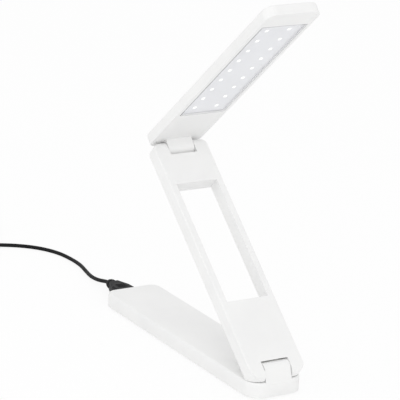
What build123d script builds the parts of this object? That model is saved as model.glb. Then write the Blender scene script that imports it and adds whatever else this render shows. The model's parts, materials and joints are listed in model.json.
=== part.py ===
from build123d import *
from math import acos, atan2, cos, degrees, hypot, pi, radians, sin, tan
import os

# Folding LED desk lamp: a flat base, a windowed arm and a light head, joined by two barrel hinges.
# The three slabs are drawn folded flat on each other, base lowest and head on top. The arm and head
# are then opened about the two hinge axes to the pose in which the lamp stands on a desk.
# Millimetres and degrees. +X points to the hinge end of the base, +Z up, the base rests on z = 0.

# ---------------------------------------------------------------- driving dimensions
base_length = 192.0
base_width = 42.0
base_body_height = 10.2
foot_stand = 0.8            # height of the body above the desk
base_front_radius = 11.0    # plan corners of the base
base_back_radius = 7.0
base_wall = 1.6
base_edge_radius = 1.5      # rounding of the top rim
hinge_setback = 8.3         # from the base's front face back to the lower hinge axis
front_block = 5.0           # solid stretch of the base behind the lower hinge barrel

arm_span = 173.8            # between the two hinge axes
arm_thickness = 10.2
arm_wall = 1.6
arm_edge_radius = 0.9
arm_nose = 7.9              # round end of the arm past the lower hinge axis
arm_lower_radius = 9.0      # plan corners of the arm
arm_upper_radius = 8.0
arm_stop = 42.0             # highest angle of the arm, at which its nose is over the base
arm_rail = 4.9              # beside the arm's window
window_start = 50.7         # from the lower hinge axis to the near edge of the arm's window
window_end = 30.2           # from the upper hinge axis to its far edge
arm_end_margin = 14.0       # from each hinge axis to the hollow of the arm
arm_screw_start = 31.0      # from the lower hinge axis to the near pair of screws
arm_screw_margin = 8.0      # from the window's far edge to the far pair
arm_screw_spread = 25.0
arm_screw_sink = 0.3
arm_screw_bite = 3.0

head_width = 41.2
head_thickness = 7.6
head_reach = 179.3          # from the upper hinge axis to the far end
head_overhang = 4.6         # behind the upper hinge axis
head_wall = 1.6
head_split = 4.2            # height of the bezel, the cover has the rest
head_edge_radius = 1.2
head_lower_edge_radius = 0.5
head_corner_radius = 7.5
head_cavity_start = 7.0     # from the upper hinge axis to the hollow of the head
lip_height = 0.6            # snap lip of the head's cover, inside the bezel
lip_width = 1.0
lip_clearance = 0.1
panel_start = 41.5          # from the upper hinge axis to the light window
panel_length = 121.7
panel_width = 35.0
panel_corner_radius = 1.0

fold_gap = 0.6              # between two slabs that lie folded on each other
knuckle_width = 20.0
neck_sink = 1.0             # depth of a knuckle's neck in its slab
turning_clearance = 0.3     # barrels to the slab that they turn over
notch_end_gap = 1.2         # knuckle barrel to the end of the arm's notch
pin_diameter = 3.0
pin_length = 36.0
pin_end_clearance = 0.2
pin_press = 0.04            # knuckle bore over the pin, a press fit
pin_running_fit = 0.1       # ear bore over the pin
pin_chamfer = 0.3
washer_diameter = 9.0
washer_thickness = 0.4
washer_clearance = 0.1
washer_bore_clearance = 0.3

arm_angle = 40.2            # of the arm above the base
head_angle = 42.6           # of the head above the horizontal

led_columns = 9
led_pitch = 13.2
led_row_spacing = 17.2
led_start = 49.0            # from the upper hinge axis to the first pair
led_length = 2.6
led_width = 2.2
led_height = 0.8
led_corner_radius = 0.4
led_gap = 0.1               # between the LEDs and the lens
lens_thickness = 0.6
lens_recess = 1.0           # of the lens in the light window
lens_overlap = 0.6          # of the lens behind the window's rim
lens_clearance = 0.15
led_board_thickness = 1.0
led_board_seat = 0.5        # width of the ledge that the LED board lies on

foot_diameter = 9.0
foot_thickness = 1.6
foot_chamfer = 0.25
foot_margin_back = 13.0     # from the cavity's back end to the back pair
foot_margin_front = 11.0
foot_spread = 24.0
cover_thickness = 1.5
cover_clearance = 0.15
boss_diameter = 5.2
boss_margin_back = 7.0      # from the control board to the back pair of bosses
boss_margin_front = 24.0
boss_spread = 27.2
screw_diameter = 2.0
screw_head_diameter = 3.8
screw_head_height = 1.0
screw_hole_clearance = 0.3
screw_tip_clearance = 0.5
screw_bite = 4.0            # length of thread in the boss

board_length = 38.0
board_side_room = 2.4       # to each side wall
board_thickness = 1.2
board_margin = 0.6          # to the back wall
board_corner_radius = 4.5
battery_gap = 14.0          # between the board and the cell
battery_length = 70.0
battery_side_room = 3.4     # to each side wall, for the lead
battery_height = 6.0
battery_edge_radius = 1.6
lead_width = 1.4
lead_height = 1.2
lead_clearance = 0.2
lead_turn = 9.0             # from the cavity's front end to the lead's turn

socket_offset = -2.0        # sideways from the base's centre line
socket_width = 13.4
socket_height = 6.0
socket_depth = 13.0
socket_metal = 0.4
socket_inset = 0.3          # behind the base's back face
socket_floor = 1.0
socket_clearance = 0.1
socket_board_clearance = 0.3
tongue_length = 9.0
tongue_thickness = 1.45
tongue_offset = 0.15        # above the socket's middle plane
tongue_clearance = 0.2
plug_width = 12.0
plug_height = 4.5
plug_length = 12.0
plug_metal = 0.35
plug_tongue = 1.75
plug_tongue_inset = 0.5
grip_width = 16.0           # moulded grip of the lamp's plug
grip_tail_width = 7.0
grip_length = 20.5
grip_height = 8.0
grip_shoulder_inset = 0.8
grip_edge_radius = 1.4
grip_gap = 0.4              # grip to the base's back face
far_grip_width = 16.0
far_grip_length = 24.0
far_grip_height = 9.3
relief_length = 7.0
relief_diameter = 4.8
relief_wall = 0.35          # of the strain relief at the cord's side

button_length = 8.0
button_height = 3.6
button_proud = 0.8
button_flange = 1.0
button_flange_side = 1.0    # flange beyond the cap, along the base
button_flange_rise = 0.5
button_edge_radius = 0.4
button_clearance = 0.2
button_setback = 24.0       # from the base's back face
plunger_diameter = 2.0
plunger_length = 1.6
plunger_clearance = 0.2
switch_size = 6.0
switch_depth = 3.4
switch_gap = 0.6            # between the button's flange and the switch
switch_bore = 2.2
switch_height = 4.2

cord_diameter = 2.8
coil_turns = 4              # in each of the two layers
coil_mean_radius = 15.4
coil_pitch = 3.3
coil_layer_rise = 3.25
coil_tail = 6.0             # straight end of the coil, up to the far plug
far_plug_clearance = 0.05   # coil end to the far strain relief

# ---------------------------------------------------------------- places that follow from them
base_back = -base_length / 2
base_front = base_length / 2
base_top = foot_stand + base_body_height
lower_x = base_front - hinge_setback
upper_x = lower_x - arm_span
slab_offset = arm_thickness / 2 + fold_gap        # hinge axis to the slab under or over it
hinge_radius = slab_offset - turning_clearance
hinge_z = base_top + slab_offset
arm_bottom = hinge_z - arm_thickness / 2
head_bottom = hinge_z + slab_offset
head_back = upper_x - head_overhang
head_front = upper_x + head_reach
notch_width = knuckle_width + 2 * (washer_thickness + washer_clearance)
notch_end = hinge_radius + notch_end_gap
nose_x = lower_x + arm_nose - arm_thickness / 2   # middle of the arm's round end
pin_bore = pin_diameter + pin_press
ear_bore = pin_diameter + pin_running_fit

cavity_back = base_back + base_wall
cavity_front = lower_x - hinge_radius - front_block
cavity_width = base_width - 2 * base_wall
cavity_ceiling = base_top - base_wall
cover_top = foot_stand + cover_thickness
cavity_radius = base_back_radius - base_wall
board_width = cavity_width - 2 * board_side_room
battery_width = cavity_width - 2 * battery_side_room
board_back = cavity_back + board_margin
board_front = board_back + board_length
board_top = cover_top + board_thickness
socket_z = cover_top + socket_height / 2          # sunk in a cut-out of the board
lead_y = -cavity_width / 2 + lead_width / 2 + lead_clearance
lead_turn_x = cavity_front - lead_turn
switch_z = board_top + switch_height / 2
button_x = base_back + button_setback
button_inner_y = cavity_width / 2 - button_clearance - button_flange
switch_face_y = button_inner_y - switch_gap

window_front = lower_x - window_start
window_back = upper_x + window_end
window_width = base_width - 2 * arm_rail
rail_middle_y = (window_width + base_width) / 4

head_cavity_radius = head_corner_radius - head_wall
panel_back = upper_x + panel_start
bezel_top = head_bottom + head_split
lens_bottom = head_bottom + lens_recess
lens_top = lens_bottom + lens_thickness
bezel_floor = lens_top + led_gap + led_height     # seat of the LED board
lens_pocket = lens_overlap + lens_clearance

lower_axis = Axis((lower_x, 0, hinge_z), (0, 1, 0))
upper_axis = Axis((upper_x, 0, hinge_z), (0, 1, 0))

grip_back = base_back - grip_gap - grip_length
relief_end = grip_back - relief_length
cord_radius = cord_diameter / 2
cord_z = cord_radius + 0.02


def pairs(x_values, spread):
    """Spots in pairs, one on each side of the lamp's middle plane."""
    return [(x, y) for x in x_values for y in (-spread / 2, spread / 2)]


boss_spots = pairs((board_front + boss_margin_back, cavity_front - boss_margin_front), boss_spread)
foot_spots = pairs((cavity_back + foot_margin_back, cavity_front - foot_margin_front), foot_spread)
arm_screw_spots = pairs((lower_x - arm_screw_start, window_back - arm_screw_margin), arm_screw_spread)


# ---------------------------------------------------------------- shared shapes
def slab(x_back, x_front, width, z_bottom, height, back_radius, front_radius):
    """A flat bar with rounded plan corners."""
    bar = block((x_back, x_front), (-width / 2, width / 2), (z_bottom, z_bottom + height))
    bar = fillet(bar.edges().filter_by(Axis.Z).group_by(Axis.X)[0], back_radius)
    return fillet(bar.edges().filter_by(Axis.Z).group_by(Axis.X)[-1], front_radius)


def block(x_range, y_range, z_range):
    """A box given by its limits along each axis."""
    size = [high - low for low, high in (x_range, y_range, z_range)]
    middle = [(high + low) / 2 for low, high in (x_range, y_range, z_range)]
    return Pos(*middle) * Box(*size)


def cross_bar(x, z, diameter, length):
    """A round bar across the lamp, on a hinge axis."""
    return Pos(x, 0, z) * Cylinder(diameter / 2, length, rotation=(90, 0, 0))


def post(spot, diameter, z_low, z_high):
    """An upright cylinder."""
    return Pos(spot[0], spot[1], (z_low + z_high) / 2) * Cylinder(diameter / 2, z_high - z_low)


def joined(shapes):
    """All the shapes as one compound of separate solids."""
    return Compound(children=list(shapes))


def knuckle(axis_x, neck):
    """The middle barrel of a hinge, on the neck that carries it."""
    barrel = cross_bar(axis_x, hinge_z, 2 * hinge_radius, knuckle_width)
    return barrel + neck - cross_bar(axis_x, hinge_z, pin_bore, knuckle_width)


def base_neck():
    """Neck of the lower knuckle: its front slopes from the barrel down to the base's front face."""
    foot_x = base_front - lower_x
    foot_z = base_top - base_edge_radius - hinge_z
    touch = atan2(foot_z, foot_x) + acos(hinge_radius / hypot(foot_x, foot_z))
    profile = [(-hinge_radius, foot_z), (foot_x, foot_z),
               (hinge_radius * cos(touch), hinge_radius * sin(touch)), (0, 0), (-hinge_radius, 0)]
    face = make_face(Polyline(*[(lower_x + px, 0, hinge_z + pz) for px, pz in profile], close=True))
    return extrude(face, knuckle_width / 2, dir=(0, 1, 0), both=True)


def head_neck():
    """Neck of the upper knuckle, on the head's lower face."""
    return block((head_back, upper_x + hinge_radius), (-knuckle_width / 2, knuckle_width / 2),
                 (hinge_z, head_bottom + neck_sink))


def screw(spot, z_head, direction, length):
    """A pan-head screw, its head at z_head and its shank pointing up or down."""
    head = post(spot, screw_head_diameter, *sorted((z_head, z_head + direction * screw_head_height)))
    z_end = z_head + direction * (screw_head_height + length)
    return head + post(spot, screw_diameter, *sorted((z_head + direction * screw_head_height / 2, z_end)))


# ---------------------------------------------------------------- base
def base_shell():
    outer = slab(base_back, base_front, base_width, foot_stand, base_body_height,
                 base_back_radius, base_front_radius)
    outer = fillet(outer.faces().sort_by(Axis.Z)[-1].edges(), base_edge_radius)
    cavity = slab(cavity_back, cavity_front, cavity_width, foot_stand,
                  base_body_height - base_wall, cavity_radius, cavity_radius)
    shell = outer - cavity
    for spot in boss_spots:
        shell += post(spot, boss_diameter, cover_top, cavity_ceiling)
        shell -= post(spot, screw_diameter, cover_top, cover_top + screw_bite + screw_tip_clearance)
    shell += knuckle(lower_x, base_neck())
    shell -= block((base_back - 1, cavity_back + 1), socket_limits_y(socket_clearance),
                   (socket_z - socket_height / 2 - socket_clearance,
                    socket_z + socket_height / 2 + socket_clearance))
    half = button_length / 2 + button_clearance
    tall = button_height / 2 + button_clearance
    shell -= block((button_x - half, button_x + half), (button_inner_y, base_width / 2 + 1),
                   (switch_z - tall, switch_z + tall))
    return shell


def socket_limits_y(clearance):
    """Sides of the power socket, widened by a clearance."""
    half = socket_width / 2 + clearance
    return (socket_offset - half, socket_offset + half)


def base_cover():
    plate = slab(cavity_back + cover_clearance, cavity_front - cover_clearance,
                 cavity_width - 2 * cover_clearance, foot_stand, cover_thickness,
                 cavity_radius - cover_clearance, cavity_radius - cover_clearance)
    for spot in boss_spots:
        plate -= post(spot, screw_diameter + screw_hole_clearance, foot_stand, cover_top)
        plate -= post(spot, screw_head_diameter + screw_hole_clearance, foot_stand,
                      foot_stand + screw_head_height)
    for spot in foot_spots:
        plate -= post(spot, foot_diameter, foot_stand, foot_thickness)
    return plate


def base_screws():
    """Four screws hold the cover, with their heads sunk in it."""
    return joined(screw(spot, foot_stand, 1, cover_thickness - screw_head_height + screw_bite)
                  for spot in boss_spots)


def foot(spot):
    pad = post(spot, foot_diameter, 0, foot_thickness)
    return chamfer(pad.faces().sort_by(Axis.Z)[0].edges(), foot_chamfer)


def control_board():
    """Charging and dimming board, with its larger components."""
    board = slab(board_back, board_front, board_width, cover_top, board_thickness,
                 board_corner_radius, board_corner_radius)
    board -= block((board_back - 1, base_back + socket_inset + socket_depth + socket_board_clearance),
                   socket_limits_y(socket_board_clearance), (cover_top, board_top))
    for x, y, side, height in ((22.0, 2.0, 5.0, 1.2), (30.0, -8.0, 4.0, 1.0), (30.0, 5.0, 6.0, 2.6)):
        board += block((board_back + x, board_back + x + side), (y, y + side), (board_top, board_top + height))
    return board


def battery_cell():
    """Flat pouch cell under the middle of the base."""
    start = board_front + battery_gap
    pouch = block((start, start + battery_length), (-battery_width / 2, battery_width / 2),
                  (cover_top, cover_top + battery_height))
    return fillet(pouch.edges().filter_by(Axis.X), battery_edge_radius)


def base_lead():
    """Two-core lead from the board forward along the side, then in to the hinge."""
    height = (cover_top, cover_top + lead_height)
    along = block((board_front, lead_turn_x), (lead_y - lead_width / 2, lead_y + lead_width / 2), height)
    across = block((lead_turn_x - lead_width, lead_turn_x), (lead_y, 0), height)
    forward = block((lead_turn_x - lead_width, cavity_front), (-lead_width / 2, lead_width / 2), height)
    return along + across + forward


def power_socket():
    """Metal shell of the power socket, open to the back."""
    back = base_back + socket_inset
    limits_z = (socket_z - socket_height / 2, socket_z + socket_height / 2)
    shell = block((back, back + socket_depth), socket_limits_y(0), limits_z)
    inside = block((back, back + socket_depth - socket_floor), socket_limits_y(-socket_metal),
                   (limits_z[0] + socket_metal, limits_z[1] - socket_metal))
    return shell - inside


def socket_tongue():
    """Contact tongue in the upper half of the socket."""
    front = base_back + socket_inset + socket_depth - socket_floor
    half = plug_width / 2 - plug_metal - tongue_clearance
    low = socket_z + tongue_offset
    return block((front - tongue_length, front), (socket_offset - half, socket_offset + half),
                 (low, low + tongue_thickness))


def push_switch():
    """Housing of the push switch, on the board behind the button."""
    body = block((button_x - switch_size / 2, button_x + switch_size / 2),
                 (switch_face_y - switch_depth, switch_face_y), (board_top, board_top + switch_height))
    hole = Cylinder(plunger_diameter / 2 + plunger_clearance, 2 * switch_bore, rotation=(90, 0, 0))
    return body - Pos(button_x, switch_face_y, switch_z) * hole


def power_button():
    """Button cap with the flange that keeps it in the side wall."""
    y_flange = button_inner_y + button_flange
    cap = block((button_x - button_length / 2, button_x + button_length / 2),
                (y_flange, base_width / 2 + button_proud),
                (switch_z - button_height / 2, switch_z + button_height / 2))
    cap = fillet(cap.faces().sort_by(Axis.Y)[-1].edges(), button_edge_radius)
    half = button_length / 2 + button_flange_side
    tall = button_height / 2 + button_flange_rise
    flange = block((button_x - half, button_x + half), (button_inner_y, y_flange),
                   (switch_z - tall, switch_z + tall))
    return cap + flange


def switch_plunger():
    """Plunger between the button and the switch's inside."""
    rod = Cylinder(plunger_diameter / 2, plunger_length, rotation=(90, 0, 0))
    return Pos(button_x, button_inner_y - plunger_length / 2, switch_z) * rod


# ---------------------------------------------------------------- arm
def arm_blank():
    """Outer form of the arm: a bar with round ends and rounded plan corners."""
    bar = block((upper_x, nose_x), (-base_width / 2, base_width / 2),
                (arm_bottom, arm_bottom + arm_thickness))
    bar = fillet(bar.edges().filter_by(Axis.X), arm_edge_radius)
    for end_x in (upper_x, nose_x):
        bar += cross_bar(end_x, hinge_z, arm_thickness, base_width)
    plan = slab(upper_x - arm_thickness / 2, lower_x + arm_nose, base_width,
                arm_bottom, arm_thickness, arm_upper_radius, arm_lower_radius)
    return (bar & plan) - stop_space(arm_stop / 2) - stop_space(arm_stop)


def stop_space(angle):
    """What the base takes of the round end of an arm that is raised to an angle: all below a flat."""
    below = block((lower_x - arm_nose, lower_x + 3 * arm_nose), (-base_width, base_width),
                  (hinge_z - 3 * arm_nose, hinge_z - hinge_radius))
    return below.rotate(lower_axis, -angle)


def arm_window(margin):
    """The arm's window, narrowed all round by a margin."""
    tall = (arm_bottom - 1, arm_bottom + arm_thickness + 1)
    half = window_width / 2 + margin
    return block((window_back - margin, window_front + margin), (-half, half), tall)


def arm_hollow():
    """Inside of the arm: a pocket in each end panel and a channel in each rail."""
    hollow = block((upper_x + arm_end_margin, lower_x - arm_end_margin),
                   (arm_wall - base_width / 2, base_width / 2 - arm_wall),
                   (arm_bottom + arm_wall, arm_bottom + arm_thickness - arm_wall))
    return hollow - arm_window(arm_wall)


def arm_notches():
    """Room for the two knuckles: round on one face of the arm, square on the neck's side."""
    side = (-notch_width / 2, notch_width / 2)
    low = (arm_bottom - 1, hinge_z)
    high = (hinge_z, arm_bottom + arm_thickness + 1)
    lower = block((lower_x - notch_end, lower_x + 2 * arm_nose), side, low)
    lower += block((lower_x, lower_x + 2 * arm_nose), side, high)
    upper = block((upper_x - 2 * arm_nose, upper_x + notch_end), side, high)
    upper += block((upper_x - 2 * arm_nose, upper_x), side, low)
    for axis_x in (lower_x, upper_x):
        upper += cross_bar(axis_x, hinge_z, 2 * notch_end, notch_width)
    return lower + upper


def arm_body():
    body = arm_blank() - arm_window(0) - arm_hollow() - arm_notches()
    for axis_x in (upper_x, lower_x):
        body -= cross_bar(axis_x, hinge_z, ear_bore, pin_length + 2 * pin_end_clearance)
    for spot in arm_screw_spots:
        body += post(spot, boss_diameter, arm_bottom + arm_wall, arm_bottom + arm_thickness - arm_wall)
    return body


def arm_half_space(upper):
    """The half of space above or below the arm's split plane, as a large box."""
    z_limits = (hinge_z, hinge_z + arm_thickness) if upper else (hinge_z - arm_thickness, hinge_z)
    return block((upper_x - arm_thickness, lower_x + 2 * arm_nose), (-base_width, base_width), z_limits)


def arm_front_shell():
    shell = arm_body() & arm_half_space(True)
    for spot in arm_screw_spots:
        shell -= post(spot, screw_diameter, hinge_z, hinge_z + arm_screw_bite + screw_tip_clearance)
    return shell


def arm_back_shell():
    shell = arm_body() & arm_half_space(False)
    for spot in arm_screw_spots:
        shell -= post(spot, screw_diameter + screw_hole_clearance, arm_bottom, hinge_z)
        shell -= post(spot, screw_head_diameter + screw_hole_clearance, arm_bottom,
                      arm_bottom + screw_head_height + arm_screw_sink)
    return shell


def arm_screws():
    """Four screws through the back shell into the front shell."""
    length = arm_thickness / 2 - arm_screw_sink - screw_head_height + arm_screw_bite
    return joined(screw(spot, arm_bottom + arm_screw_sink, 1, length) for spot in arm_screw_spots)


def arm_lead():
    """Two-core lead along the left rail."""
    z = arm_bottom + arm_wall
    return block((upper_x + arm_end_margin, lower_x - arm_end_margin),
                 (-rail_middle_y - lead_width / 2, -rail_middle_y + lead_width / 2), (z, z + lead_height))


def hinge_pin(axis_x):
    pin = cross_bar(axis_x, hinge_z, pin_diameter, pin_length)
    return chamfer(pin.edges().filter_by(GeomType.CIRCLE), pin_chamfer)


def friction_washer(axis_x, side):
    """Washer seated on the inner face of an ear."""
    middle = side * (notch_width / 2 - washer_thickness / 2)
    disc = Pos(axis_x, middle, hinge_z) * Cylinder(washer_diameter / 2, washer_thickness, rotation=(90, 0, 0))
    return disc - cross_bar(axis_x, hinge_z, pin_diameter + washer_bore_clearance, base_width)


# ---------------------------------------------------------------- head
def head_blank():
    blank = slab(head_back, head_front, head_width, head_bottom, head_thickness,
                 head_corner_radius, head_corner_radius)
    blank = fillet(blank.faces().sort_by(Axis.Z)[-1].edges(), head_edge_radius)
    return fillet(blank.faces().sort_by(Axis.Z)[0].edges(), head_lower_edge_radius)


def head_inside(grow, z_low, z_high):
    """Inside outline of the head, grown by a margin."""
    return slab(upper_x + head_cavity_start - grow, head_front - head_wall + grow,
                head_width - 2 * head_wall + 2 * grow, z_low, z_high - z_low,
                head_cavity_radius + grow, head_cavity_radius + grow)


def panel_slab(grow, z_low, z_high):
    """A plate in line with the light window, grown by a margin."""
    return slab(panel_back - grow, panel_back + panel_length + grow, panel_width + 2 * grow,
                z_low, z_high - z_low, panel_corner_radius + grow, panel_corner_radius + grow)


def head_bezel():
    """Lower shell of the head, with the light window and the hinge knuckle."""
    below = block((head_back - 9, head_front + 9), (-base_width, base_width), (head_bottom - 9, bezel_top))
    bezel = head_blank() & below
    bezel -= head_inside(0, bezel_floor, bezel_top)
    bezel -= panel_slab(0, head_bottom, lens_bottom)
    bezel -= panel_slab(lens_pocket, lens_bottom, bezel_floor)
    return bezel + knuckle(upper_x, head_neck())


def head_cover():
    """Upper shell of the head, with a lip that snaps into the bezel."""
    above = block((head_back - 9, head_front + 9), (-base_width, base_width), (bezel_top, head_bottom + 99))
    cover = head_blank() & above
    lip = head_inside(-lip_clearance, bezel_top - lip_height, bezel_top)
    hollow = head_inside(-lip_clearance - lip_width, bezel_top - lip_height,
                         head_bottom + head_thickness - head_wall)
    return cover + lip - hollow


def light_lens():
    """Clear cover of the LEDs, held behind the rim of the light window."""
    return panel_slab(lens_overlap, lens_bottom, lens_top)


def led_board():
    """Board over the lens, on a ledge all round."""
    return panel_slab(lens_pocket + led_board_seat, bezel_floor, bezel_floor + led_board_thickness)


def led(column, row):
    """One flat LED, facing down from the board."""
    x = upper_x + led_start + column * led_pitch
    y = row * led_row_spacing / 2
    outline = RectangleRounded(led_length, led_width, led_corner_radius)
    return Pos(x, y, bezel_floor - led_height) * extrude(outline, led_height)


def head_lead():
    """Two-core lead from the hinge to the LED board."""
    return block((upper_x + head_cavity_start + lip_clearance + lip_width,
                  panel_back - lens_pocket - led_board_seat), (-lead_width / 2, lead_width / 2),
                 (bezel_floor, bezel_floor + lead_height))


# ---------------------------------------------------------------- cord and plugs
def plug_shell(x_face, direction, y, z):
    """Open metal tube of a flat plug, from the grip's face outward."""
    ends = sorted((x_face, x_face + direction * plug_length))
    tube = block(ends, (y - plug_width / 2, y + plug_width / 2), (z - plug_height / 2, z + plug_height / 2))
    half = plug_width / 2 - plug_metal
    tall = plug_height / 2 - plug_metal
    return tube - block((ends[0] - 1, ends[1] + 1), (y - half, y + half), (z - tall, z + tall))


def plug_contacts(x_face, direction, y, z):
    """Contact carrier in the lower half of the plug."""
    ends = sorted((x_face, x_face + direction * (plug_length - plug_tongue_inset)))
    half = plug_width / 2 - plug_metal
    low = z - plug_height / 2 + plug_metal
    return block(ends, (y - half, y + half), (low, low + plug_tongue))


def grip(x_face, direction, y, z, length, width, tail_width, height):
    """Moulded grip that narrows to the cord, with rounded edges."""
    shoulder = x_face - direction * length * 0.5
    tail = x_face - direction * length
    points = [(x_face, width / 2), (shoulder, width / 2 - grip_shoulder_inset), (tail, tail_width / 2)]
    outline = points + [(px, -py) for px, py in reversed(points)]
    body = extrude(make_face(Polyline(*outline, close=True)), height / 2, both=True)
    body = fillet(body.edges().group_by(Axis.Z)[-1] + body.edges().group_by(Axis.Z)[0], grip_edge_radius)
    return Pos(0, y, z) * body


def strain_relief(x_tail, y, z):
    """Tapered sleeve where the cord leaves a grip, pointing along -X."""
    cone = Cone(cord_radius + relief_wall, relief_diameter / 2, relief_length, rotation=(0, 90, 0))
    return Pos(x_tail - relief_length / 2, y, z) * cone


cord_route = [
    (relief_end, socket_offset, socket_z),
    (relief_end - 6.0, socket_offset, socket_z),
    (relief_end - 13.5, socket_offset + 0.2, 2.4),
    (relief_end - 23.5, socket_offset + 0.4, cord_z),
    (relief_end - 35.5, -0.6, cord_z),
    (relief_end - 49.5, 1.9, cord_z),
    (relief_end - 64.5, 3.0, cord_z),
    (relief_end - 80.5, 0.5, cord_z),
    (relief_end - 95.5, -8.0, cord_z),
    (relief_end - 106.5, -21.0, cord_z),
    (relief_end - 114.0, -37.0, cord_z),
    (relief_end - 126.5, -52.0, cord_z),
    (relief_end - 142.5, -60.0, cord_z),
]


def corner_radii(route):
    """Arc radius for each corner: 0.45 of the shorter run over the tangent of half the turn."""
    radii = []
    for before, corner, after in zip(route, route[1:], route[2:]):
        run_in = Vector(*corner) - Vector(*before)
        run_out = Vector(*after) - Vector(*corner)
        turn = run_in.get_angle(run_out)
        radii.append(0.45 * min(run_in.length, run_out.length) / tan(radians(turn / 2)))
    return radii


def cord_free():
    """The stretch of cord from the lamp's plug to the coil."""
    radii = corner_radii(cord_route)
    print("cord radii", [round(radius, 1) for radius in radii])
    path = FilletPolyline(*cord_route, radius=radii)
    profile = Plane(origin=path @ 0, z_dir=path % 0) * Circle(cord_radius)
    tube = sweep(profile, path)
    print("cord length", round(path.length, 1), "volume ratio",
          round(tube.volume / (path.length * pi * cord_radius ** 2), 5))
    return tube


def coil_point(turned, start, heading):
    """Point and tangent on the coil after a turned angle: in on the lower layer, out on the upper one."""
    reversing = radians(360.0 * coil_turns)
    rate = coil_pitch / (2 * pi)
    outer = coil_mean_radius + coil_pitch * coil_turns / 2
    before = reversing - turned
    radius = outer - rate * (reversing - abs(before))
    climbed = min(max(0.5 - before / pi, 0.0), 1.0)
    growth = -rate if before > 0.01 else rate if before < -0.01 else 0.0
    slope = coil_layer_rise / pi if abs(before) < 0.01 else 0.0
    right = Vector(heading.Y, -heading.X, 0)
    spoke = (right * -1).rotate(Axis.Z, -degrees(turned))
    along = spoke.rotate(Axis.Z, -90)
    point = start + right * outer + spoke * radius + Vector(0, 0, coil_layer_rise * climbed)
    return point, (along * radius + spoke * growth + Vector(0, 0, slope)).normalized()


def two_arcs(start, start_tangent, end, end_tangent):
    """Two tangent arcs between two points with given tangents."""
    chord = end - start
    both = start_tangent + end_tangent
    spread = 2 * (1 - start_tangent.dot(end_tangent))
    along = chord.dot(both)
    reach = (-along + (along ** 2 + spread * chord.dot(chord)) ** 0.5) / spread
    first = start + start_tangent * reach
    second = end - end_tangent * reach
    middle = (first + second) * 0.5
    return [TangentArc(start, middle, tangent=start_tangent),
            TangentArc(middle, end, tangent=second - first)]


def coil_path():
    """One unbroken line: a straight lead-in, the turns as tangent arcs, and a straight lead-out.

    The last arcs go a quarter turn past the place where the cord came in."""
    entry = Vector(*cord_route[-1])
    heading = (entry - Vector(*cord_route[-2])).normalized()
    start = entry + heading * cord_diameter
    edges = [Line(entry, start)]
    reversal = 360 * coil_turns
    inward = list(range(90, reversal, 180))
    outward = [2 * reversal - angle for angle in reversed(inward)]
    point, tangent = coil_point(0, start, heading)
    for angle in inward + [reversal] + outward + [2 * reversal + 90]:
        next_point, next_tangent = coil_point(radians(angle), start, heading)
        edges += two_arcs(point, tangent, next_point, next_tangent)
        point, tangent = next_point, next_tangent
    edges.append(Line(point, point + tangent * coil_tail))
    return edges


def least_self_gap(edges, samples=24):
    """Least distance between the coil's surfaces, measured on points along its middle line."""
    points = []
    travelled = 0.0
    for edge in edges:
        for number in range(samples):
            points.append((travelled + edge.length * number / samples, edge @ (number / samples)))
        travelled += edge.length
    apart = 4 * cord_diameter
    return min((first - second).length for place, first in points for other, second in points
               if other - place > apart) - cord_diameter


def cord_coil():
    """The put-away length of the cord, as a coil of two layers."""
    edges = coil_path()
    path = Wire(edges)
    print("coil length", round(path.length, 1), "least gap", round(least_self_gap(edges), 2))
    profile = Plane(origin=edges[0] @ 0, z_dir=edges[0] % 0) * Circle(cord_radius)
    return sweep(profile, path)


def at_coil_end(shape):
    """Moves a shape from the origin to the end of the coil, in line with it."""
    last = coil_path()[-1]
    end, heading = last @ 1, last % 1
    facing = Rot(0, 0, degrees(atan2(heading.Y, heading.X)))
    return Pos(end.X, end.Y, end.Z) * facing * Pos(far_plug_clearance, 0, 0) * shape


# ---------------------------------------------------------------- opened pose and export
def opened_arm(shape):
    return shape.rotate(lower_axis, arm_angle)


def opened_head(shape):
    return shape.rotate(upper_axis, -(arm_angle + head_angle)).rotate(lower_axis, arm_angle)


def base_parts():
    parts = {
        "base_shell": base_shell(),
        "base_cover": base_cover(),
        "base_screws": base_screws(),
        "control_board": control_board(),
        "battery_cell": battery_cell(),
        "base_lead": base_lead(),
        "power_socket": power_socket(),
        "socket_tongue": socket_tongue(),
        "push_switch": push_switch(),
        "power_button": power_button(),
        "switch_plunger": switch_plunger(),
        "lower_hinge_pin": hinge_pin(lower_x),
    }
    for number, spot in enumerate(foot_spots, start=1):
        parts[f"foot_{number}"] = foot(spot)
    return parts


def arm_parts():
    parts = {
        "arm_front_shell": arm_front_shell(),
        "arm_back_shell": arm_back_shell(),
        "arm_screws": arm_screws(),
        "arm_lead": arm_lead(),
    }
    for name, axis_x in (("lower", lower_x), ("upper", upper_x)):
        for side_name, side in (("left", -1), ("right", 1)):
            parts[f"{name}_washer_{side_name}"] = friction_washer(axis_x, side)
    return parts


def head_parts():
    parts = {
        "head_bezel": head_bezel(),
        "head_cover": head_cover(),
        "light_lens": light_lens(),
        "led_board": led_board(),
        "head_lead": head_lead(),
        "upper_hinge_pin": hinge_pin(upper_x),
    }
    for row_name, row in (("left", -1), ("right", 1)):
        for column in range(led_columns):
            parts[f"led_{row_name}_{column + 1}"] = led(column, row)
    return parts


def far_plug_parts():
    """The plug on the cord's far end, drawn along +X from the cord's end."""
    face = relief_length + far_grip_length
    return {
        "far_strain_relief": strain_relief(relief_length, 0, 0),
        "far_plug_grip": grip(face, 1, 0, 0, far_grip_length, far_grip_width,
                              grip_tail_width, far_grip_height),
        "far_plug_shell": plug_shell(face, 1, 0, 0),
        "far_plug_contacts": plug_contacts(face, 1, 0, 0),
    }


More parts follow.
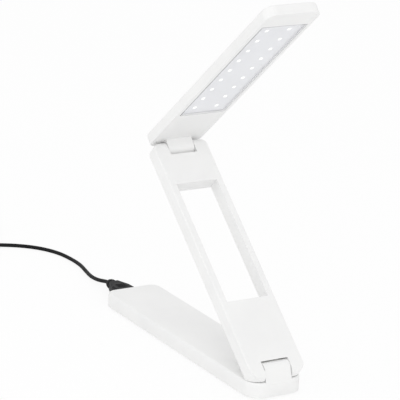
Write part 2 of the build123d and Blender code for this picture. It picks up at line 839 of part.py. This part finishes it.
def cord_parts():
    face = base_back - grip_gap
    parts = {
        "lamp_plug_shell": plug_shell(face, 1, socket_offset, socket_z),
        "lamp_plug_contacts": plug_contacts(face, 1, socket_offset, socket_z),
        "lamp_plug_grip": grip(face, 1, socket_offset, socket_z, grip_length, grip_width,
                               grip_tail_width, grip_height),
        "lamp_strain_relief": strain_relief(grip_back, socket_offset, socket_z),
        "cord_free": cord_free(),
        "cord_coil": cord_coil(),
    }
    parts.update({name: at_coil_end(shape) for name, shape in far_plug_parts().items()})
    return parts


def main():
    os.makedirs("parts", exist_ok=True)
    parts = base_parts()
    parts.update({name: opened_arm(shape) for name, shape in arm_parts().items()})
    parts.update({name: opened_head(shape) for name, shape in head_parts().items()})
    parts.update(cord_parts())
    for name, shape in parts.items():
        export_step(shape, f"parts/{name}.step")
    print(len(parts), "nodes; lower axis", (lower_x, 0, hinge_z))
    upper_point = Vector(lower_x, 0, hinge_z) + Vector(-arm_span, 0, 0).rotate(Axis.Y, arm_angle)
    print("upper axis in the opened pose", tuple(round(value, 4) for value in tuple(upper_point)))


main()
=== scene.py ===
"""Looks of the folding LED desk lamp: materials, the power cord, soft studio light and the camera."""
import json
from math import atan2, cos, pi, radians, sin

import bmesh
import bpy
from mathutils import Matrix, Vector


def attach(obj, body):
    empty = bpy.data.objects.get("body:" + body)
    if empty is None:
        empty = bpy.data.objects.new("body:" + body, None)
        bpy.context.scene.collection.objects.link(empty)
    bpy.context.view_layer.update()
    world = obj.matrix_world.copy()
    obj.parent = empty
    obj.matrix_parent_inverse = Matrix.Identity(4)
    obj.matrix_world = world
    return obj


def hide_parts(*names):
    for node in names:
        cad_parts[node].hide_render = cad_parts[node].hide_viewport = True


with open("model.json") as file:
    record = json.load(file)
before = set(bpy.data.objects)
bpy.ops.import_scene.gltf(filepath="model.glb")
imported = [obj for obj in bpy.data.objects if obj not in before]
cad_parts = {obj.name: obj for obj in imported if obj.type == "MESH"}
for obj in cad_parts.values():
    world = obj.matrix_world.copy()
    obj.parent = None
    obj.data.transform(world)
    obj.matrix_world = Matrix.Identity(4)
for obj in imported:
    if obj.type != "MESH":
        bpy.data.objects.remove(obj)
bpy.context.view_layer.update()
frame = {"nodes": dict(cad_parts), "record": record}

# ---------------------------------------------------------------- node helpers
noise_low, noise_high = 0.3, 0.7          # range of a noise factor that is spread over values
blend_low, blend_high = 0.35, 0.65        # range of it over which two colours blend


def new_material(name):
    """A fresh material with its shader and an object-space coordinate node."""
    material = bpy.data.materials.new(name)
    material.use_nodes = True
    tree = material.node_tree
    shader = tree.nodes["Principled BSDF"]
    place = tree.nodes.new("ShaderNodeTexCoord")
    return material, tree, shader, place.outputs["Object"]


def noise(tree, place, scale, detail=3.0, stretch=(1, 1, 1)):
    """A noise texture in object space; scale is per metre."""
    mapping = tree.nodes.new("ShaderNodeMapping")
    mapping.inputs["Scale"].default_value = stretch
    tree.links.new(place, mapping.inputs["Vector"])
    texture = tree.nodes.new("ShaderNodeTexNoise")
    texture.inputs["Scale"].default_value = scale
    texture.inputs["Detail"].default_value = detail
    tree.links.new(mapping.outputs["Vector"], texture.inputs["Vector"])
    return texture.outputs["Fac"]


def spread(tree, factor, low, high):
    """Maps the noise factor to a range of values."""
    node = tree.nodes.new("ShaderNodeMapRange")
    node.inputs["From Min"].default_value = noise_low
    node.inputs["From Max"].default_value = noise_high
    node.inputs["To Min"].default_value = low
    node.inputs["To Max"].default_value = high
    tree.links.new(factor, node.inputs["Value"])
    return node.outputs["Result"]


def tint(tree, factor, first, second):
    """Blends two colours by the noise factor."""
    ramp = tree.nodes.new("ShaderNodeValToRGB")
    ramp.color_ramp.elements[0].position = blend_low
    ramp.color_ramp.elements[1].position = blend_high
    ramp.color_ramp.elements[0].color = (*first, 1)
    ramp.color_ramp.elements[1].color = (*second, 1)
    tree.links.new(factor, ramp.inputs["Fac"])
    return ramp.outputs["Color"]


def grained(tree, shader, factor, strength, distance):
    """Fine relief on the surface; distance is in metres."""
    bump = tree.nodes.new("ShaderNodeBump")
    bump.inputs["Strength"].default_value = strength
    bump.inputs["Distance"].default_value = distance
    tree.links.new(factor, bump.inputs["Height"])
    tree.links.new(bump.outputs["Normal"], shader.inputs["Normal"])


# ---------------------------------------------------------------- materials
cloud_scale = 35.0               # noise scales, per metre
gloss_scale = 140.0
streak_scale = 900.0
flow_scale = 60.0
phosphor_scale = 2400.0
board_gloss_scale = 500.0
track_scale = 160.0
track_width = 0.012
streak_relief = 0.15
streak_depth = 0.00002           # metres
led_glow = 0.7


def moulded(name, pale, deep, rough, grain_scale=2600.0, grain=0.25, relief=0.00003):
    """Moulded plastic: faint cloudiness, uneven gloss and a fine spark-eroded grain."""
    material, tree, shader, place = new_material(name)
    cloud = noise(tree, place, cloud_scale)
    tree.links.new(tint(tree, cloud, pale, deep), shader.inputs["Base Color"])
    gloss = noise(tree, place, gloss_scale)
    tree.links.new(spread(tree, gloss, *rough), shader.inputs["Roughness"])
    shader.inputs["IOR"].default_value = 1.47
    grained(tree, shader, noise(tree, place, grain_scale, 2.0), grain, relief)
    return material


def metal(name, pale, deep, rough, stretch=(1, 1, 1)):
    """Drawn or plated metal, brushed along one direction by the stretch."""
    material, tree, shader, place = new_material(name)
    streaks = noise(tree, place, streak_scale, 3.0, stretch)
    tree.links.new(tint(tree, streaks, pale, deep), shader.inputs["Base Color"])
    tree.links.new(spread(tree, streaks, *rough), shader.inputs["Roughness"])
    shader.inputs["Metallic"].default_value = 1.0
    grained(tree, shader, streaks, streak_relief, streak_depth)
    return material


def clear_panel(name):
    """Clear plastic with faint flow marks."""
    material, tree, shader, place = new_material(name)
    flow = noise(tree, place, flow_scale, 2.0, (1, 0.3, 1))
    haze = tint(tree, flow, (0.93, 0.933, 0.95), (0.95, 0.953, 0.965))
    tree.links.new(haze, shader.inputs["Base Color"])
    tree.links.new(spread(tree, flow, 0.08, 0.16), shader.inputs["Roughness"])
    shader.inputs["Alpha"].default_value = 0.2
    shader.inputs["IOR"].default_value = 1.49
    return material


def glowing(name):
    """Pale phosphor face of an LED that gives a little light of its own."""
    material, tree, shader, place = new_material(name)
    grain = noise(tree, place, phosphor_scale, 2.0)
    phosphor = tint(tree, grain, (0.99, 0.98, 0.93), (1.0, 1.0, 0.98))
    tree.links.new(phosphor, shader.inputs["Base Color"])
    shader.inputs["Roughness"].default_value = 0.5
    shader.inputs["Emission Color"].default_value = (1.0, 0.99, 0.97, 1)
    shader.inputs["Emission Strength"].default_value = led_glow
    return material


def printed_board(name, mask, track):
    """Solder mask over tracks that show faintly through it."""
    material, tree, shader, place = new_material(name)
    tracks = tree.nodes.new("ShaderNodeTexBrick")
    tracks.inputs["Scale"].default_value = track_scale
    tracks.inputs["Mortar Size"].default_value = track_width
    tracks.inputs["Color1"].default_value = (*mask, 1)
    tracks.inputs["Color2"].default_value = (*mask, 1)
    tracks.inputs["Mortar"].default_value = (*track, 1)
    tree.links.new(place, tracks.inputs["Vector"])
    tree.links.new(tracks.outputs["Color"], shader.inputs["Base Color"])
    gloss = noise(tree, place, board_gloss_scale)
    tree.links.new(spread(tree, gloss, 0.35, 0.5), shader.inputs["Roughness"])
    return material


black_rubber = moulded("black_rubber", (0.003, 0.003, 0.0035), (0.007, 0.007, 0.008), (0.42, 0.58),
                       grain_scale=1800.0, grain=0.3)
black_rubber.node_tree.nodes["Principled BSDF"].inputs["Specular IOR Level"].default_value = 0.2
slot_materials = {
    "white_shell": moulded("white_satin", (0.855, 0.855, 0.852), (0.88, 0.88, 0.875), (0.36, 0.46)),
    "white_cover": moulded("white_matt", (0.82, 0.82, 0.82), (0.86, 0.86, 0.855), (0.5, 0.62),
                           grain_scale=1500.0, grain=0.4),
    "clear_lens": clear_panel("clear_panel"),
    "led_face": glowing("phosphor"),
    "light_board": printed_board("white_mask", (0.93, 0.935, 0.96), (0.89, 0.895, 0.93)),
    "circuit_board": printed_board("green_mask", (0.02, 0.16, 0.07), (0.05, 0.26, 0.12)),
    "cell_pouch": metal("foil", (0.66, 0.67, 0.70), (0.76, 0.77, 0.79), (0.28, 0.42)),
    "wire_sleeve": moulded("lead_sleeve", (0.05, 0.05, 0.055), (0.08, 0.08, 0.085), (0.4, 0.5)),
    "plated_steel": metal("plated", (0.62, 0.62, 0.64), (0.74, 0.74, 0.76), (0.22, 0.32), (1, 12, 12)),
    "contact_carrier": moulded("black_insulator", (0.02, 0.02, 0.02), (0.035, 0.035, 0.035), (0.35, 0.45)),
    "switch_housing": moulded("switch_plastic", (0.03, 0.03, 0.035), (0.05, 0.05, 0.055), (0.4, 0.5)),
    "steel": metal("bright_steel", (0.55, 0.55, 0.57), (0.68, 0.68, 0.70), (0.24, 0.36), (14, 1, 14)),
    "washer_plastic": moulded("washer", (0.68, 0.68, 0.64), (0.74, 0.74, 0.70), (0.3, 0.4)),
    "foot_rubber": moulded("foot_rubber", (0.03, 0.03, 0.032), (0.05, 0.05, 0.053), (0.6, 0.75),
                           grain_scale=1200.0, grain=0.5),
    "cord_jacket": black_rubber,
}
for item in frame["record"]["subparts"]:
    mesh = frame["nodes"][item["node"]].data
    mesh.materials.clear()
    mesh.materials.append(slot_materials[item["material_slot"]])

# ---------------------------------------------------------------- shared shapes


def new_piece(name, mesh, place, material, body):
    """Makes a piece of a mesh that is drawn in a local frame, and lets it ride on its body."""
    bmesh.ops.recalc_face_normals(mesh, faces=mesh.faces)
    mesh.transform(place)
    data = bpy.data.meshes.new(name)
    mesh.to_mesh(data)
    mesh.free()
    data.materials.append(material)
    piece = bpy.data.objects.new(name, data)
    bpy.context.scene.collection.objects.link(piece)
    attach(piece, body)
    return piece


def smooth(piece):
    """Shades all faces of a piece smoothly."""
    for face in piece.data.polygons:
        face.use_smooth = True


def bridged(mesh, rings, closed):
    """Faces between rings of equally many vertices; closed joins the last ring to the first."""
    pairs = list(zip(rings, rings[1:]))
    if closed:
        pairs.append((rings[-1], rings[0]))
    for first, second in pairs:
        for number in range(len(first)):
            after = (number + 1) % len(first)
            mesh.faces.new((first[number], first[after], second[after], second[number]))


# ---------------------------------------------------------------- light panel (metres)
upper_hinge = Vector((-0.0450477, 0, 0.1288805))
head_angle = radians(42.6)
head_underside = 0.0057          # from the hinge axis, square to the head
panel_start = 0.0415             # of the light window from the hinge axis, along the head
panel_length = 0.1217
panel_width = 0.035
panel_corner = 0.001
shade_ring_clearance = 0.00002         # to the window's wall
shade_ring_near_width = 0.00008        # painted shade: the dark ring stands in for the shade in the window's recess, and is wider on its far and left sides
shade_ring_far_width = 0.00045         # panel sits a little off the middle of its window
shade_ring_left_width = 0.0006
shade_ring_right_width = 0.00008
shade_ring_corner = 0.0007             # inside radius
shade_ring_mouth = 0.0001              # depths from the head's underside
shade_ring_foot = 0.00014
corner_steps = 5
led_columns = 9
led_rows = 2
led_start = 0.049                # from the hinge axis to the first pair
led_pitch = 0.0132
led_row_spacing = 0.0172
led_hole_length = 0.0029
led_hole_width = 0.0025
film_low = 0.00733               # from the hinge axis, just over the clear panel
film_thickness = 0.00006
film_margin = 0.0007             # behind the window's rim
film_painted_glow = 0.34                 # painted light: a glow that lifts the shade behind the window's rim, standing in for LED light scattered in the film
head_place = Matrix.Translation(upper_hinge) @ Matrix.Rotation(-head_angle, 4, "Y")


def rounded_outline(near, far, left, right, radius):
    """Points round the light window, in from its near, far, left and right edges."""
    near_x = panel_start + near + radius
    far_x = panel_start + panel_length - far - radius
    left_y = -panel_width / 2 + left + radius
    right_y = panel_width / 2 - right - radius
    centres = ((far_x, right_y), (near_x, right_y), (near_x, left_y), (far_x, left_y))
    points = []
    for number, (x, y) in enumerate(centres):
        for step in range(corner_steps + 1):
            angle = (number + step / corner_steps) * pi / 2
            points.append((x + radius * cos(angle), y + radius * sin(angle)))
    return points


def panel_shade_ring():
    """Thin dark ring round the mouth of the light window's recess: painted shade that stands in for the
    shade inside the recess.
    """
    mesh = bmesh.new()
    outer = rounded_outline(*[shade_ring_clearance] * 4, panel_corner)
    inner = rounded_outline(shade_ring_near_width, shade_ring_far_width, shade_ring_left_width, shade_ring_right_width, shade_ring_corner)
    section = ((outer, shade_ring_mouth), (outer, shade_ring_foot), (inner, shade_ring_foot), (inner, shade_ring_mouth))
    rings = []
    for outline, depth in section:
        rings.append([mesh.verts.new((x, y, head_underside + depth)) for x, y in outline])
    bridged(mesh, rings, closed=True)
    # Dark grey ring: painted shade for the window's recess.
    rubber = moulded("painted_shade_ring", (0.09, 0.09, 0.10), (0.13, 0.13, 0.14), (0.5, 0.6))
    return new_piece("panel_shade_ring", mesh, head_place, rubber, "head")


def cell_limits(first, pitch, count, half_hole, low, high):
    """Limits of the cells along one side of the film; every second cell can be a hole."""
    limits = [low]
    for number in range(count):
        limits += [first + number * pitch - half_hole, first + number * pitch + half_hole]
    return limits + [high]


def light_reflector():
    """Pale film over the clear panel, with a hole for each LED; it glows a little, painted light that lifts
    the shade behind the window's rim.
    """
    low_x = panel_start - film_margin
    high_x = panel_start + panel_length + film_margin
    half_y = panel_width / 2 + film_margin
    xs = cell_limits(led_start, led_pitch, led_columns, led_hole_length / 2, low_x, high_x)
    ys = cell_limits(-led_row_spacing / 2, led_row_spacing, led_rows, led_hole_width / 2, -half_y, half_y)
    mesh = bmesh.new()
    corners = [[mesh.verts.new((x, y, film_low)) for y in ys] for x in xs]
    for i in range(len(xs) - 1):
        for j in range(len(ys) - 1):
            if i % 2 == 0 or j % 2 == 0:
                near, far = corners[i], corners[i + 1]
                mesh.faces.new((near[j], far[j], far[j + 1], near[j + 1]))
    lifted = bmesh.ops.extrude_face_region(mesh, geom=list(mesh.faces))["geom"]
    moved = [item for item in lifted if isinstance(item, bmesh.types.BMVert)]
    bmesh.ops.translate(mesh, verts=moved, vec=(0, 0, film_thickness))
    # Darkened base colour with a painted glow on top: the glow lifts the shade behind the window's rim.
    film = moulded("reflector_film_painted_glow", (0.47, 0.475, 0.49), (0.49, 0.495, 0.51), (0.5, 0.6))
    shader = film.node_tree.nodes["Principled BSDF"]
    shader.inputs["Emission Color"].default_value = (0.97, 0.975, 1.0, 1)
    shader.inputs["Emission Strength"].default_value = film_painted_glow
    return new_piece("light_reflector", mesh, head_place, film, "head")


panel_shade_ring()
light_reflector()

# ---------------------------------------------------------------- power cord (metres)
relief_end = -0.1239             # x of the cord's exit from the strain relief at the lamp
cord_radius = 0.0014
cord_z = 0.00142                 # of the cord's middle where it lies on the desk
coil_turns = 4                   # in each of the two layers
coil_mean_radius = 0.0154
coil_pitch = 0.0033
coil_layer_rise = 0.00325
coil_outer = coil_mean_radius + coil_pitch * coil_turns / 2
coil_tail = 0.006                # straight end at the far plug
tail_bend = 0.4                  # share of the tail at which it has its first point
far_plug_clearance = 0.00005
points_per_turn = 16
collar_sides = 28
collar_profile = (               # along the cord towards the plug, and radius
    (0.0004, 0.0017), (0.0007, 0.0023), (0.0018, 0.0030), (0.0032, 0.0035), (0.0048, 0.0038),
    (0.0054, 0.0038), (0.0057, 0.0035), (0.0063, 0.0035), (0.0066, 0.0039), (0.0078, 0.0039),
    (0.0078, 0.0017))
rib_pitch = 0.0022
rib_half_width = 0.0006
rib_rise = 0.0004
rib_length = 0.0076
rib_sides = 12
rib_end_share = 0.35             # of a rib's section at its two ends
lamp_ribs_middle = 0.0185        # from the cord's end, along the plug
lamp_ribs_height = 0.008         # of the grip under them
far_ribs_middle = 0.0205
far_ribs_height = 0.0093

# The cord's control points on the desk, from the strain relief to the coil.
route = [
    (relief_end, -0.002, 0.0053),
    (relief_end - 0.004, -0.0022, 0.0047),
    (relief_end - 0.012, -0.0032, 0.003),
    (relief_end - 0.0235, -0.0026, 0.0016),
    (relief_end - 0.0355, -0.0002, cord_z),
    (relief_end - 0.0495, 0.003, cord_z),
    (relief_end - 0.0645, 0.003, cord_z),
    (relief_end - 0.0805, 0.0005, cord_z),
    (relief_end - 0.0955, -0.008, cord_z),
    (relief_end - 0.1065, -0.021, cord_z),
    (relief_end - 0.114, -0.037, cord_z),
    (relief_end - 0.1265, -0.052, cord_z),
    (relief_end - 0.1425, -0.06, cord_z),
]


def coil_frame():
    """Start of the coil, the cord's heading there and the direction to the coil's middle."""
    entry = Vector(route[-1])
    heading = (entry - Vector(route[-2])).normalized()
    return entry + heading * 2 * cord_radius, heading, Vector((heading.y, -heading.x, 0))


def coil_end():
    """End of the coil's last turn, before its straight tail."""
    start, heading, right = coil_frame()
    middle = start + right * coil_outer
    return middle + heading * (coil_outer + coil_pitch / 4) + Vector((0, 0, coil_layer_rise))


def coil_end_place():
    """Frame of the far plug: from the end of the coil's tail, +X towards the plug."""
    right = coil_frame()[2]
    origin = coil_end() + right * (coil_tail + far_plug_clearance)
    return Matrix.Translation(origin) @ Matrix.Rotation(atan2(right.y, right.x), 4, "Z")


def coil_points():
    """The coil: in on the lower layer, out on the upper one a quarter turn further, and a straight tail."""
    start, _, right = coil_frame()
    reversing = 2 * pi * coil_turns
    widen = 1 / cos(pi / points_per_turn)
    last_step = 2 * coil_turns * points_per_turn + points_per_turn // 4
    found = []
    for step in range(last_step):
        turned = 2 * pi * step / points_per_turn
        before = reversing - turned
        radius = (coil_outer - coil_pitch * (reversing - abs(before)) / (2 * pi)) * widen
        climbed = min(max(0.5 - before / pi, 0.0), 1.0)    # over half a turn at the reversal
        lift = Vector((0, 0, coil_layer_rise * climbed))
        spoke = Matrix.Rotation(-turned, 3, "Z") @ -right
        found.append(start + right * coil_outer + spoke * radius + lift)
    end = coil_end()
    return found + [end + right * coil_tail * tail_bend, end + right * coil_tail]


def power_cord():
    """The cord from its exit at the lamp to the far plug, as one smooth line."""
    curve = bpy.data.curves.new("power_cord", "CURVE")
    curve.dimensions = "3D"
    curve.bevel_depth = cord_radius
    curve.bevel_resolution = 6
    curve.resolution_u = 6
    curve.use_fill_caps = True
    spline = curve.splines.new("NURBS")
    points = [Vector(point) for point in route] + coil_points()
    spline.points.add(len(points) - 1)
    for target, point in zip(spline.points, points):
        target.co = (*point, 1)
    spline.order_u = 3
    spline.use_endpoint_u = True
    cord = bpy.data.objects.new("power_cord", curve)
    bpy.context.scene.collection.objects.link(cord)
    cord.data.materials.append(black_rubber)
    return cord


def plug_collar(name, place):
    """Ribbed sleeve where the cord enters a plug's grip, turned about the cord's line."""
    mesh = bmesh.new()
    rings = []
    for along, radius in collar_profile:
        ring = []
        for step in range(collar_sides):
            angle = 2 * pi * step / collar_sides
            ring.append(mesh.verts.new((along, radius * cos(angle), radius * sin(angle))))
        rings.append(ring)
    bridged(mesh, rings, closed=True)
    piece = new_piece(name, mesh, place, black_rubber, "base")
    smooth(piece)
    return piece


def grip_ribs(name, place, middle, height):
    """Three rounded finger ribs on the flat top of a plug's grip."""
    mesh = bmesh.new()
    end = rib_length / 2
    for number in range(-1, 2):
        centre = middle + number * rib_pitch
        rings = []
        for across in (-end, -end + rib_rise, end - rib_rise, end):
            share = 1.0 if abs(across) < end else rib_end_share
            ring = []
            for step in range(rib_sides):
                angle = 2 * pi * step / rib_sides
                ring.append(mesh.verts.new((centre + share * rib_half_width * cos(angle), across,
                                            height / 2 + share * rib_rise * sin(angle))))
            rings.append(ring)
        bridged(mesh, rings, closed=False)
        mesh.faces.new(rings[0])
        mesh.faces.new(rings[-1])
    piece = new_piece(name, mesh, place, black_rubber, "base")
    smooth(piece)
    return piece


cord = power_cord()
lamp_plug_place = Matrix.Translation(route[0])
far_plug_place = coil_end_place()
plug_pieces = [
    plug_collar("lamp_plug_collar", lamp_plug_place),
    grip_ribs("lamp_grip_ribs", lamp_plug_place, lamp_ribs_middle, lamp_ribs_height),
    plug_collar("far_plug_collar", far_plug_place),
    grip_ribs("far_grip_ribs", far_plug_place, far_ribs_middle, far_ribs_height),
]
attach(cord, "base")
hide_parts("cord_free", "cord_coil")

# ---------------------------------------------------------------- floor, light and camera
floor_size = 16
floor_drop = 0.0002              # below the lamp's feet
floor_white_share = 0.88         # of plain white in the floor, as the camera sees it
world_strength = 0.87
box_size = 1.0
key_power = 5.8
fill_power = 2.0
floor_tone_scale = 3.0
lamp_middle = (0, 0, 0.1)        # what both soft boxes face
camera_place = (1.28417, -0.84997, 0.59986)
camera_yaw = radians(33.23)
camera_pitch = radians(17.80)
camera_roll = radians(3.86)
focal_pixels = 2405.8
frame_pixels = 400
sensor_width = 36.0              # millimetres


def pale_floor():
    """A pale floor that reads as white to the camera and keeps the lamp's soft shadow."""
    bpy.ops.mesh.primitive_plane_add(size=floor_size, location=(0, 0, -floor_drop))
    floor = bpy.context.object
    floor.name = "floor"
    material, tree, shader, place = new_material("pale_floor")
    shader.inputs["Roughness"].default_value = 0.7
    tone = tint(tree, noise(tree, place, floor_tone_scale), (0.95, 0.95, 0.95), (0.97, 0.97, 0.97))
    tree.links.new(tone, shader.inputs["Base Color"])
    path = tree.nodes.new("ShaderNodeLightPath")
    glow = tree.nodes.new("ShaderNodeEmission")
    glow.inputs["Color"].default_value = (1, 1, 1, 1)
    glow.inputs["Strength"].default_value = 1.0
    share = tree.nodes.new("ShaderNodeMath")
    share.operation = "MULTIPLY"
    share.inputs[1].default_value = floor_white_share
    tree.links.new(path.outputs["Is Camera Ray"], share.inputs[0])
    mix = tree.nodes.new("ShaderNodeMixShader")
    tree.links.new(share.outputs[0], mix.inputs["Fac"])
    tree.links.new(shader.outputs["BSDF"], mix.inputs[1])
    tree.links.new(glow.outputs["Emission"], mix.inputs[2])
    tree.links.new(mix.outputs["Shader"], tree.nodes["Material Output"].inputs["Surface"])
    floor.data.materials.append(material)


def studio_world():
    """Even soft light from all round, and a white backdrop behind everything."""
    world = bpy.data.worlds.new("studio")
    world.use_nodes = True
    bpy.context.scene.world = world
    tree = world.node_tree
    soft = tree.nodes["Background"]
    soft.inputs["Color"].default_value = (1, 1, 1, 1)
    soft.inputs["Strength"].default_value = world_strength
    white = tree.nodes.new("ShaderNodeBackground")
    white.inputs["Color"].default_value = (1, 1, 1, 1)
    white.inputs["Strength"].default_value = 1.0
    path = tree.nodes.new("ShaderNodeLightPath")
    seen = tree.nodes.new("ShaderNodeMath")
    seen.operation = "MAXIMUM"
    tree.links.new(path.outputs["Is Camera Ray"], seen.inputs[0])
    tree.links.new(path.outputs["Is Glossy Ray"], seen.inputs[1])
    through = tree.nodes.new("ShaderNodeMath")
    through.operation = "MAXIMUM"
    tree.links.new(seen.outputs[0], through.inputs[0])
    tree.links.new(path.outputs["Is Transmission Ray"], through.inputs[1])
    mix = tree.nodes.new("ShaderNodeMixShader")
    tree.links.new(through.outputs[0], mix.inputs["Fac"])
    tree.links.new(soft.outputs["Background"], mix.inputs[1])
    tree.links.new(white.outputs["Background"], mix.inputs[2])
    tree.links.new(mix.outputs["Shader"], tree.nodes["World Output"].inputs["Surface"])


def soft_box(name, place, target, size, power):
    """A large square lamp that faces the target."""
    data = bpy.data.lights.new(name, "AREA")
    data.shape = "SQUARE"
    data.size = size
    data.energy = power
    lamp = bpy.data.objects.new(name, data)
    bpy.context.scene.collection.objects.link(lamp)
    lamp.location = place
    lamp.rotation_euler = (Vector(target) - Vector(place)).to_track_quat("-Z", "Y").to_euler()


def photo_camera():
    """The photograph's camera, fitted to the lamp's straight edges."""
    yaw, pitch, roll = camera_yaw, camera_pitch, camera_roll
    ahead = Vector((-cos(yaw) * cos(pitch), sin(yaw) * cos(pitch), -sin(pitch)))
    right = ahead.cross(Vector((0, 0, 1))).normalized()
    up = right.cross(ahead)
    right, up = cos(roll) * right + sin(roll) * up, cos(roll) * up - sin(roll) * right
    data = bpy.data.cameras.new("camera")
    data.sensor_width = sensor_width
    data.lens = sensor_width * focal_pixels / frame_pixels
    data.clip_start = 0.1
    data.clip_end = 50.0
    camera = bpy.data.objects.new("camera", data)
    bpy.context.scene.collection.objects.link(camera)
    turn = Matrix((right, up, -ahead)).transposed().to_4x4()
    camera.matrix_world = Matrix.Translation(camera_place) @ turn
    bpy.context.scene.camera = camera


pale_floor()
studio_world()
soft_box("key", (1.5, -0.7, 1.1), lamp_middle, box_size, key_power)
soft_box("fill", (-0.2, -1.6, 0.9), lamp_middle, box_size, fill_power)
photo_camera()
bpy.context.scene.view_settings.view_transform = "Standard"
